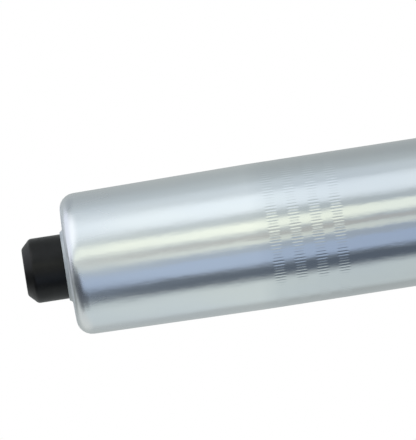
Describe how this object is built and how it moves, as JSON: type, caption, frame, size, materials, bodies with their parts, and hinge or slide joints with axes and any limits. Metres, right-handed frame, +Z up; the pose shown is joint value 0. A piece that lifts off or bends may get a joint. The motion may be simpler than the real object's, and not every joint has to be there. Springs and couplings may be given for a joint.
{
  "type": "chair gas lift cylinder",
  "caption": "Chair gas lift: tapered steel column with a sliding, swivelling pressure tube that carries a seat taper and a push button release at its top end.",
  "frame": {"origin": "centre of the column's foot, on the plane that it stands on", "axes": "+Z up along the column towards the release button, +X and +Y across"},
  "size_m": [0.05, 0.05, 0.3877],
  "materials": {
    "zinc_tube": "bright zinc plate, satin, fine marks along the tube",
    "button_plastic": "moulded black plastic, satin",
    "black_paint": "black powder coat, semi-gloss",
    "bush_plastic": "moulded black plastic",
    "plate_steel": "pressed steel, zinc plated",
    "race_steel": "hardened steel, turned",
    "ball_steel": "polished bearing steel",
    "rod_steel": "ground and polished",
    "inner_steel": "drawn steel tube",
    "clip_steel": "phosphated spring steel",
    "aluminium": "turned",
    "cage_plastic": "natural moulded plastic",
    "guide_plastic": "filled bearing plastic",
    "rubber": "black nitrile rubber"
  },
  "bodies": {
    "column": {"column_tube": "black_paint", "base_plate": "plate_steel", "guide_bush": "bush_plastic", "bearing_lower_race": "race_steel"},
    "ball_cage": {"bearing_cage": "cage_plastic", "bearing_balls": "ball_steel"},
    "rod": {"piston_rod": "rod_steel", "bearing_upper_race": "race_steel", "bump_stop": "rubber", "foot_washer": "plate_steel", "rod_clip": "clip_steel", "piston": "aluminium", "piston_seal": "rubber", "piston_guide_ring": "guide_plastic", "piston_washer": "plate_steel"},
    "cylinder": {"pressure_tube": "zinc_tube", "end_washer": "plate_steel", "rod_seal": "rubber", "rod_guide": "guide_plastic", "inner_tube": "inner_steel", "valve_body": "aluminium", "valve_body_seal": "rubber", "inner_tube_seal": "rubber", "stem_seal": "rubber", "port_spacer": "guide_plastic", "seat_seal": "rubber", "seat_retainer": "plate_steel"},
    "button": {"release_button": "button_plastic", "valve_pin": "rod_steel"}
  },
  "joints": [
    {"name": "swivel", "type": "hinge", "parent": "column", "child": "rod", "pos_m": [0, 0, 0], "axis": [0, 0, 1], "continuous": true},
    {"name": "cage_roll", "type": "hinge", "parent": "column", "child": "ball_cage", "pos_m": [0, 0, 0], "axis": [0, 0, 1], "continuous": true},
    {"name": "height", "type": "slide", "parent": "rod", "child": "cylinder", "axis": [0, 0, 1], "range_m": [-0.1, 0], "stiffness_N_per_m": 500, "springref_m": 0.64},
    {"name": "release", "type": "slide", "parent": "cylinder", "child": "button", "axis": [0, 0, 1], "range_m": [-0.004, 0], "stiffness_N_per_m": 8000}
  ],
  "couplings": [
    {"joint": "cage_roll", "follows": "swivel", "ratio": 0.5}
  ]
}
